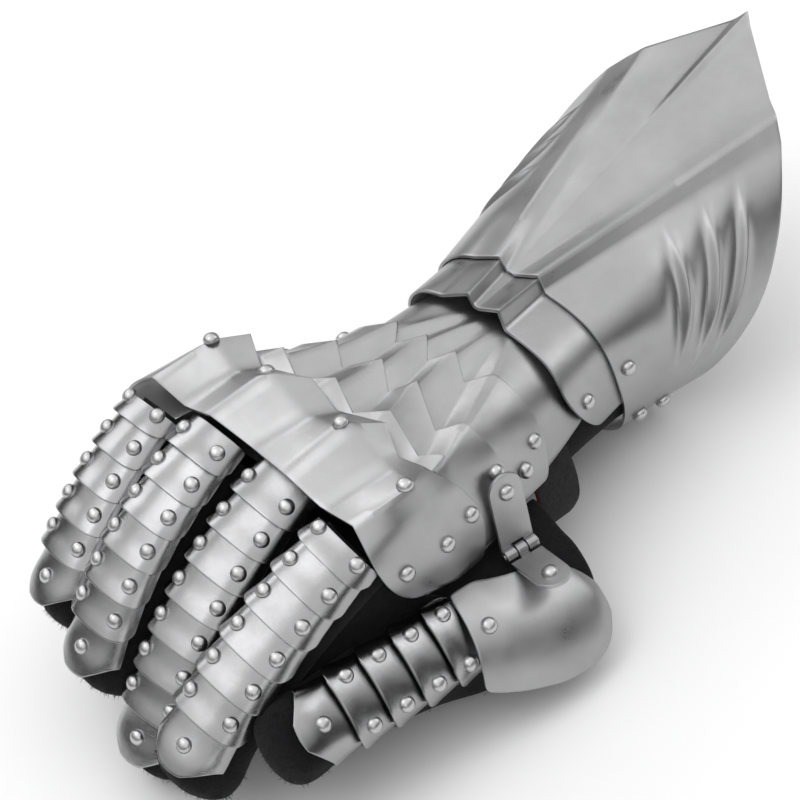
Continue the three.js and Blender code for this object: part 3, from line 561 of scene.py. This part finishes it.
def lame(name, d, k, replaced):
    """One lame or tip of a digit; gives back the seats of its rivets."""
    f = digit_frame(d, k)
    tip = k == d["lames"]
    front = LAME_FRONT + (TIP_REACH if tip else 0)
    back = d["start"] if k == 0 else LAME_BACK
    corner = TIP_CORNER if tip else CORNER
    width = d["size"] * (TIP_WIDTH if tip else 1)
    rows = 6

    def place(i, j):
        a = lerp(-back, front - corner[i], j / rows)
        narrow = 1 - TIP_TAPER * clamp((a - 2) / 10) if tip else 1
        h = LAME_RISE * (a + LAME_BACK) / (LAME_FRONT + LAME_BACK) + LIP * smooth((a + 1) / 8)
        s, n = ARCH[i]
        spread = 1 + (h / 14) * (1 if abs(s) > 12 else 0.6)
        up = n * (0.9 if tip else 1) + min(h, 2.4 + LIP) * (0.6 if n < -2 else 1)
        return in_digit(f, a, s * width * narrow * spread, up)

    cols = len(ARCH) - 1
    vertices, faces, uvs = grid(cols, rows, place)
    faces = turned_out(vertices, faces, lambda p: f[3])
    piece = new_piece(name, vertices, faces, uvs, LAME_STEEL, replaced)
    crease_columns(piece, cols, {1: 0.3, 7: 0.3})
    if tip:
        corners = piece.data.attributes.new("crease_vert", "FLOAT", "POINT")
        for i in (0, 1, 3, 5, 7, 8):
            corners.data[rows * (cols + 1) + i].value = 0.85
    plated(piece, LAME)
    seats = []
    for s in ([0] if tip else [-RIVET_HALF, RIVET_HALF]):
        seat = in_digit(f, 2 if tip else 0, s * d["size"], 3.0 if tip else 1.5)
        seats.append((seat, f[3] + f[2] * s * 0.035, *LAME_RIVET))
    return seats


digit_rivets = []
for name, d in DIGITS.items():
    for k in range(d["lames"]):
        digit_rivets += lame(f"{name}_steel_{k + 1}", d, k, [f"{name}_lame_{k + 1}"])
    digit_rivets += lame(f"{name}_tip_steel", d, d["lames"], [f"{name}_tip"])
rivets("digit_rivets", digit_rivets)

# ---- thumb ball plate ----
BALL_COLUMNS = 10
BALL_ROWS = 14
BALL = [(-55.5, 8, 20, 1), (-53, 2.5, 25.5, 3), (-47, -3, 30.5, 4.4), (-38, -7.2, 32.6, 5.4),
        (-27, -9.6, 31.8, 6.2), (-15, -13.5, 27.6, 7), (-3, -13.6, 20.5, 6)]


def ball_point(i, j):
    f = digit_frame(DIGITS["thumb"], 0)
    along = lerp(BALL[0][0], BALL[-1][0], j / BALL_ROWS)
    top, bottom, height = table(BALL, along)
    across = i / BALL_COLUMNS
    t = 2 * i / BALL_COLUMNS - 1
    ahead = smooth((along + 25) / 22) * t * 2.9
    return in_digit(f, along + ahead, lerp(top, bottom, across), height * (1 - t * t) + 0.2)


vertices, faces, uvs = grid(BALL_COLUMNS, BALL_ROWS, ball_point)
thumb_up = digit_frame(DIGITS["thumb"], 0)[3]
faces = turned_out(vertices, faces, lambda p: thumb_up)
ball = new_piece("thumb_plate_steel", vertices, faces, uvs, PLATE_STEEL, ["thumb_plate"])
plated(ball, PLATE)

# ---- plate rivets ----
plate_seats = [
    ((-97, 51, -3.1), (0, 0.3, 0.95)), ((-93.3, 28, -7), (0.1, 0.26, 0.96)),
    ((-101.1, -14.5, -1.6), (-0.21, 0.39, 0.9)),
    ((-106.4, -48.2, -5.8), (-0.18, 0.1, 0.97)), ((-83.8, -57.1, -27.2), (0, -0.97, 0.24)),
    ((-96.9, -58.5, -30.9), (0.02, -0.99, 0.14)), ((-114.2, -56.6, -33.7), (-0.1, -0.99, 0.02)),
    ((-99, 67, -23), (0, 0.9, 0.43)), ((-41.6, -47.9, -26.1), (0.05, -0.92, 0.38)),
    ((-49.3, -51.1, -32.5), (0.09, -0.94, 0.34)), ((-48, 35.8, -21.9), (0, 0.83, 0.55)),
    ((-65.5, -52, -23.2), (0.06, -0.85, 0.52)), ((-68, 45.4, -23.4), (0, 0.83, 0.55)),
    ((-10.4, -45.7, -28.1), (0.12, -0.98, 0.17)), ((-8, 35.2, -30), (0.12, 0.98, 0.17)),
    ((-94.6, -75.2, -57.9), (-0.23, -0.58, 0.78)),
]
seats = [(p, n, *PLATE_RIVET) for p, n in plate_seats]
for k, t in ((9, 0.09), (12, 0.2), (12, 0.53)):
    for kk in (k, RING - k):
        seats.append((cuff_point(kk, t), cuff_normal(kk, t), *PLATE_RIVET))
rivets("plate_rivets", seats)

# ---- hinge ----
HINGE_AT = Vector((-64.3, -62.3, -51.3))
HINGE_AXIS = Vector((0.96, -0.226, 0.163)).normalized()
HINGE_WIDTH = 13.0
HINGE_BARREL = 2.6  # radius
HINGE_LEAF = 1.4  # thickness
BARREL_SIDES = 20


BLOCK_FACES = ((3, 2, 1, 0), (4, 5, 6, 7), (0, 1, 5, 4), (1, 2, 6, 5), (2, 3, 7, 6), (3, 0, 4, 7))


def hinge_frame(swing):
    down = Vector((0.132, -0.146, -0.98))
    down = (down - HINGE_AXIS * down.dot(HINGE_AXIS)).normalized()
    out = down.cross(HINGE_AXIS).normalized()
    if out.y > 0:
        out.negate()
    y = down * math.cos(swing) + out * math.sin(swing)
    return HINGE_AXIS, y, HINGE_AXIS.cross(y)


def hinge_leaf(name, swing, length, lift, spans, replaced):
    """A round-ended leaf with its barrels; gives back the seat of its rivet."""
    ax, ay, az = hinge_frame(swing)

    def local(x, y, z):
        return HINGE_AT + ax * x + ay * y + az * z

    half = HINGE_WIDTH / 2
    outline = [(-half, 3.2), (half, 3.2), (half, length - half)]
    outline += [(half * math.cos(a), length - half + half * math.sin(a)) for a in
                (math.pi * s / 16 for s in range(1, 16))]
    outline += [(-half, length - half)]
    count = len(outline)
    vertices = [local(x, y, z) for z in (lift, lift + HINGE_LEAF) for x, y in outline]
    faces = [tuple(range(count - 1, -1, -1)), tuple(range(count, 2 * count))]
    faces += [(k, (k + 1) % count, count + (k + 1) % count, count + k) for k in range(count)]
    for a, b in spans:
        start = len(vertices)
        sides = BARREL_SIDES
        for x in (a, b):
            for k in range(sides):
                q = 2 * math.pi * k / sides
                vertices.append(local(x, HINGE_BARREL * math.cos(q), HINGE_BARREL * math.sin(q)))
        for k in range(sides):
            nxt = (k + 1) % sides
            faces.append((start + k, start + nxt, start + sides + nxt, start + sides + k))
        faces.append(tuple(start + k for k in range(sides - 1, -1, -1)))
        faces.append(tuple(start + sides + k for k in range(sides)))
        start = len(vertices)
        for x in (a, b):
            for y, z in ((0.5, lift), (3.6, lift), (3.6, lift + HINGE_LEAF), (0.5, lift + HINGE_LEAF)):
                vertices.append(local(x, y, z))
        faces += [tuple(start + k for k in f) for f in BLOCK_FACES]
    uvs = [(v.x, v.z) for v in vertices]
    piece = new_piece(name, vertices, faces, uvs, PLATE_STEEL, replaced)
    edge = piece.modifiers.new("edge", "BEVEL")
    edge.width = 0.3 * MM
    edge.segments = 2
    edge.limit_method = "ANGLE"
    edge.angle_limit = math.radians(50)
    for poly in piece.data.polygons:
        poly.use_smooth = False
    face = 1 if lift < 0 else -1
    seat = local(0, length - half - 1, lift + HINGE_LEAF if lift < 0 else lift)
    return (seat, az * face, *HINGE_RIVET)


hinge_seats = [
    hinge_leaf("hinge_upper_steel", math.pi, 32, -2.2, [(-6.5, -2.4), (2.4, 6.5)], ["hinge_upper_leaf"]),
    hinge_leaf("hinge_lower_steel", math.radians(94), 25, 0.8, [(-1.9, 1.9)], ["hinge_lower_leaf"]),
]
rivets("hinge_rivets", hinge_seats)
hinge_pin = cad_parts["hinge_pin"]
hinge_pin.data.materials.clear()
hinge_pin.data.materials.append(PLATE_STEEL)

# ---- suede glove ----
STALL = [(0, -1.4), (8.2, -2.7), (11.6, -6.8), (14.4, -11.5), (14, -17), (8, -22), (-8, -22),
         (-13.4, -17), (-13.8, -11.5), (-11.6, -6.8), (-8.2, -2.7)]
STALL_AXIS = -11.2
STALL_END = 21.5  # from the last rivet to the end of the fingertip


def stall_point(d, row, column):
    k, ahead, scale, web, drop = row
    f = digit_frame(d, max(k, 0))
    s, h = STALL[column]
    side = s * scale * d["size"] - (web if s < 0 and h < -9 else 0)
    p = in_digit(f, (k * PITCH if k < 0 else 0) + ahead, side, STALL_AXIS + (h - STALL_AXIS) * scale)
    if drop and h < -12:
        p += Vector((0, -0.35, -1)) * drop
    return p


def stall(name, d, rows, replaced):
    """A closed-ended suede tube along a digit; gives back its net for the nap."""
    end = digit_frame(d, d["lames"])
    n = len(STALL)
    vertices, faces, uvs = grid(n, len(rows) - 1, lambda i, j: stall_point(d, rows[j], i), cyclic=True)
    vertices.append(in_digit(end, STALL_END, 0, STALL_AXIS - 1))
    last = (len(rows) - 1) * n
    faces += [(last + i, last + (i + 1) % n, len(vertices) - 1) for i in range(n)]
    uvs.append((0, 0))
    middle = [in_digit(digit_frame(d, k), 0, 0, STALL_AXIS) for k in range(d["lames"] + 1)]

    def outward(p):
        return p - min(middle, key=lambda m: (m - p).length)

    faces = turned_out(vertices, faces, outward)
    piece = new_piece(name, vertices, faces, uvs, SUEDE, replaced)
    plated(piece, LEATHER, levels=3, bevel=0)
    return vertices, faces


def finger_stall(name, d):
    rows = [(k, -3 if k == 0 else 0, 1, 0, 0) for k in range(d["lames"])]
    rows += [(d["lames"], ahead, scale, 0, 0) for ahead, scale in ((0, 1.08), (9, 1.2), (17, 1.02))]
    return stall(f"{name}_suede", d, rows, [f"glove_{name}"])


suede_nets = [finger_stall(name, DIGITS[name]) for name in ("index", "middle", "ring", "little")]
thumb = DIGITS["thumb"]
# Each row: place in rivet rows, mm ahead of it, scale, how far the web reaches, how far the palm side drops.
thumb_rows = [(-4.3, 0, 0.95, 14, 2), (-3.6, 0, 1, 14, 6), (-2.5, 0, 1.04, 9, 13), (-1.5, 0, 1.02, 6, 15),
              (-0.5, 0, 1, 6, 11), (0.5, 0, 1, 5, 6), (1.5, 0, 1, 3, 3), (3, 0, 1, 1, 0), (4, 0, 1, 0, 0),
              (4, 8, 1.14, 0, 0), (4, 16, 1.0, 0, 0)]
suede_nets.append(stall("thumb_suede", thumb, thumb_rows, ["glove_thumb"]))

# Each row: x, middle, half width above and below the seam, heights of the top, the bottom and the seam.
PALM = [(-115, 8, 55, 52, -22.5, -56, -48), (-96, 6, 54, 56, -19.5, -58, -50),
        (-78, 1, 48.5, 52, -16.5, -58, -50), (-58, -4, 41.5, 46, -15.5, -60, -50),
        (-38, -6.5, 33.5, 39, -15.5, -63, -50), (-18, -6, 32.8, 36.5, -12, -66, -50),
        (2, -4.5, 34, 35.5, -10, -67, -48), (20, -3, 36, 36, -7, -68, -46), (30, -2.5, 37, 37, -5, -68, -46)]
FRONT_LEAN = 0.4
AROUND = 24


def palm_point(i, row):
    x, cy, wide, low, top, bottom, seam = PALM[row]
    a = i / AROUND * 2 * math.pi
    bow = math.copysign(abs(math.cos(a)) ** 0.7, math.cos(a))
    rise = math.copysign(abs(math.sin(a)) ** 0.8, math.sin(a))
    half = wide if rise > 0.1 else low
    z = seam + (top - seam if rise > 0 else seam - bottom) * rise
    return Vector((x - (z - top) * FRONT_LEAN if row == 0 else x, cy + half * bow, z))


vertices, faces, uvs = grid(AROUND, len(PALM) - 1, palm_point, cyclic=True)
faces = turned_out(vertices, faces, lambda p: Vector((0, p.y, p.z + 40)))
hand = new_piece("hand_suede", vertices, faces, uvs, SUEDE, ["glove_hand"])
plated(hand, LEATHER, levels=2, bevel=0)


WEB_NET = 8


def web_point(i, j):
    """The suede between the index finger and the thumb, hollowed towards its free edge."""
    u, v = i / WEB_NET, j / WEB_NET
    near = in_digit(digit_frame(DIGITS["index"], v * 5.2), 0, 11.5, -15)
    far = in_digit(digit_frame(thumb, v * 3.1), -14 * (1 - v), -11, -9)
    p = near.lerp(far, u)
    hollow = math.sin(math.pi * u)
    return p + Vector((9 * v, 0, -4)) * hollow


vertices, faces, uvs = grid(WEB_NET, WEB_NET, web_point)
faces = turned_out(vertices, faces, lambda p: Vector((0, -0.3, 1)))
web = new_piece("thumb_web_suede", vertices, faces, uvs, SUEDE, ())
plated(web, LEATHER, levels=2, bevel=0)
suede_nets.append((vertices, faces))


FIBRE_FACES = ((0, 1, 3), (1, 2, 3), (2, 0, 3), (0, 2, 1))
FIBRE_HALF = 0.16  # half its width
FIBRE_ROOT = 1.1  # how deep it starts in the suede
FIBRE_COUNT = 1400  # on each part of the glove
FIBRE_LENGTH = 1.1
NAP_SEED = 7


def nap(name, nets, count, length):
    """Short loose fibres all over the suede, as one mesh."""
    draw = random.Random(NAP_SEED)
    points, triangles = [], []
    for net, net_faces in nets:
        for _ in range(count):
            f = draw.choice(net_faces)
            weights = [draw.random() + 0.05 for _ in f]
            total = sum(weights)
            p = sum((net[k] * (w / total) for k, w in zip(f, weights)), Vector())
            n = (net[f[1]] - net[f[0]]).cross(net[f[2]] - net[f[0]])
            if n.length < 1e-6:
                continue
            n.normalize()
            lean = Vector([draw.uniform(-0.9, 0.9) for _ in range(3)])
            side = n.cross(lean).normalized() * FIBRE_HALF
            base = p - n * FIBRE_ROOT
            tip = p + (n + lean) * length * draw.uniform(0.3, 1.0)
            start = len(points)
            points += [base + side, base - side, base + n.cross(side), tip]
            triangles += [tuple(start + k for k in corners) for corners in FIBRE_FACES]
    new_piece(name, points, triangles, [(0, 0)] * len(points), SUEDE, ())


nap("suede_nap", suede_nets, FIBRE_COUNT, FIBRE_LENGTH)

# ---- strap ----
STRAP_WIDTH = 20.0
STRAP_THICK = 1.8
STRAP_X = -30.0
STRAP_STEPS = 4  # between two points of its path
STRAP_PATH = [(-41.8, -28), (-41.9, -36), (-43.7, -42), (-47.4, -48), (-50.2, -55), (-50.5, -63),
              (-44, -74), (-30, -80), (-12, -82), (8, -81), (25, -75), (34.5, -64), (36, -55), (34, -48),
              (31, -42), (29.4, -36), (29.4, -28)]


def strap_point(i, j):
    """A point of the strap, on a smooth curve through its path."""
    q, r = divmod(j, STRAP_STEPS)
    a = [Vector(STRAP_PATH[min(max(q + k, 0), len(STRAP_PATH) - 1)]) for k in (-1, 0, 1, 2)]
    t = r / STRAP_STEPS
    y, z = 0.5 * ((2 * a[1]) + (a[2] - a[0]) * t + (2 * a[0] - 5 * a[1] + 4 * a[2] - a[3]) * t * t
                  + (3 * a[1] - a[0] - 3 * a[2] + a[3]) * t ** 3)
    return Vector((STRAP_X + (i / 4 - 0.5) * STRAP_WIDTH, y, z))


steps = STRAP_STEPS * (len(STRAP_PATH) - 1)
vertices, faces, uvs = grid(4, steps, strap_point)
faces = turned_out(vertices, faces, lambda p: Vector((0, p.y + 4, p.z + 40)))
strap = new_piece("wrist_strap_leather", vertices, faces, uvs, STRAP, ["wrist_strap"])
strap.data.materials.append(CUT_EDGE)
plated(strap, STRAP_THICK, levels=1, bevel=0.25)
strap.modifiers["thick"].offset = 0
strap.modifiers["thick"].material_offset_rim = 1

# ---- floor, light and camera ----
bpy.ops.mesh.primitive_plane_add(size=14, location=(0, 0, 0))
floor = bpy.context.object
floor.name = "floor"
floor_mat, _, _, floor_bsdf = new_material("floor_white")
floor_bsdf.inputs["Base Color"].default_value = (0.93, 0.93, 0.93, 1)
floor_bsdf.inputs["Roughness"].default_value = 0.85
floor.data.materials.append(floor_mat)


def softbox(name, location, target, size, power):
    data = bpy.data.lights.new(name, "AREA")
    data.shape = "RECTANGLE"
    data.size, data.size_y = size
    data.energy = power
    lamp = bpy.data.objects.new(name, data)
    lamp.location = location
    lamp.rotation_euler = (Vector(target) - Vector(location)).to_track_quat("-Z", "Y").to_euler()
    bpy.context.scene.collection.objects.link(lamp)


CENTRE = (0, 0, 0.05)
softbox("key", (-0.5, 0.3, 1.3), CENTRE, (1.0, 0.7), 2.6)
softbox("front", (-0.9, -1.2, 0.7), CENTRE, (0.6, 0.6), 1.0)
softbox("side", (1.2, -0.6, 0.8), CENTRE, (0.6, 0.8), 2.2)
softbox("back", (0.2, 1.3, 0.9), CENTRE, (1.2, 0.6), 3.2)

world = bpy.data.worlds.new("studio")
bpy.context.scene.world = world
world.use_nodes = True
sky = world.node_tree.nodes["Background"]
sky.inputs["Strength"].default_value = 1.25
sky_coord = world.node_tree.nodes.new("ShaderNodeTexCoord")
sky_split = world.node_tree.nodes.new("ShaderNodeSeparateXYZ")
world.node_tree.links.new(sky_coord.outputs["Generated"], sky_split.inputs["Vector"])
sky_ramp = ramp(world.node_tree.nodes, [(0.0, grey(0.1)), (0.28, grey(0.06)), (0.42, grey(0.5)),
                                        (0.62, grey(0.8)), (0.95, grey(1.0))])
world.node_tree.links.new(sky_split.outputs["Z"], sky_ramp.inputs["Fac"])
world.node_tree.links.new(sky_ramp.outputs["Color"], sky.inputs["Color"])

CAMERA_AT = Vector((-594.5, -501.2, 549.1))
AZ, EL = math.radians(-47.0), math.radians(38.0)
BACKWARD = Vector((math.sin(AZ) * math.cos(EL), -math.cos(AZ) * math.cos(EL), math.sin(EL)))
RIGHT = Vector((math.cos(AZ), math.sin(AZ), 0))
UP = BACKWARD.cross(RIGHT)
camera_data = bpy.data.cameras.new("camera")
camera_data.lens = 121.5
camera_data.sensor_width = 36
camera_data.clip_end = 50
camera = bpy.data.objects.new("camera", camera_data)
axes = [TURN @ RIGHT, TURN @ UP, TURN @ BACKWARD]
matrix = Matrix([[axes[c][r] for c in range(3)] for r in range(3)]).to_4x4()
matrix.translation = placed(CAMERA_AT)
camera.matrix_world = matrix
bpy.context.scene.collection.objects.link(camera)
bpy.context.scene.camera = camera
bpy.context.scene.view_settings.view_transform = "Standard"
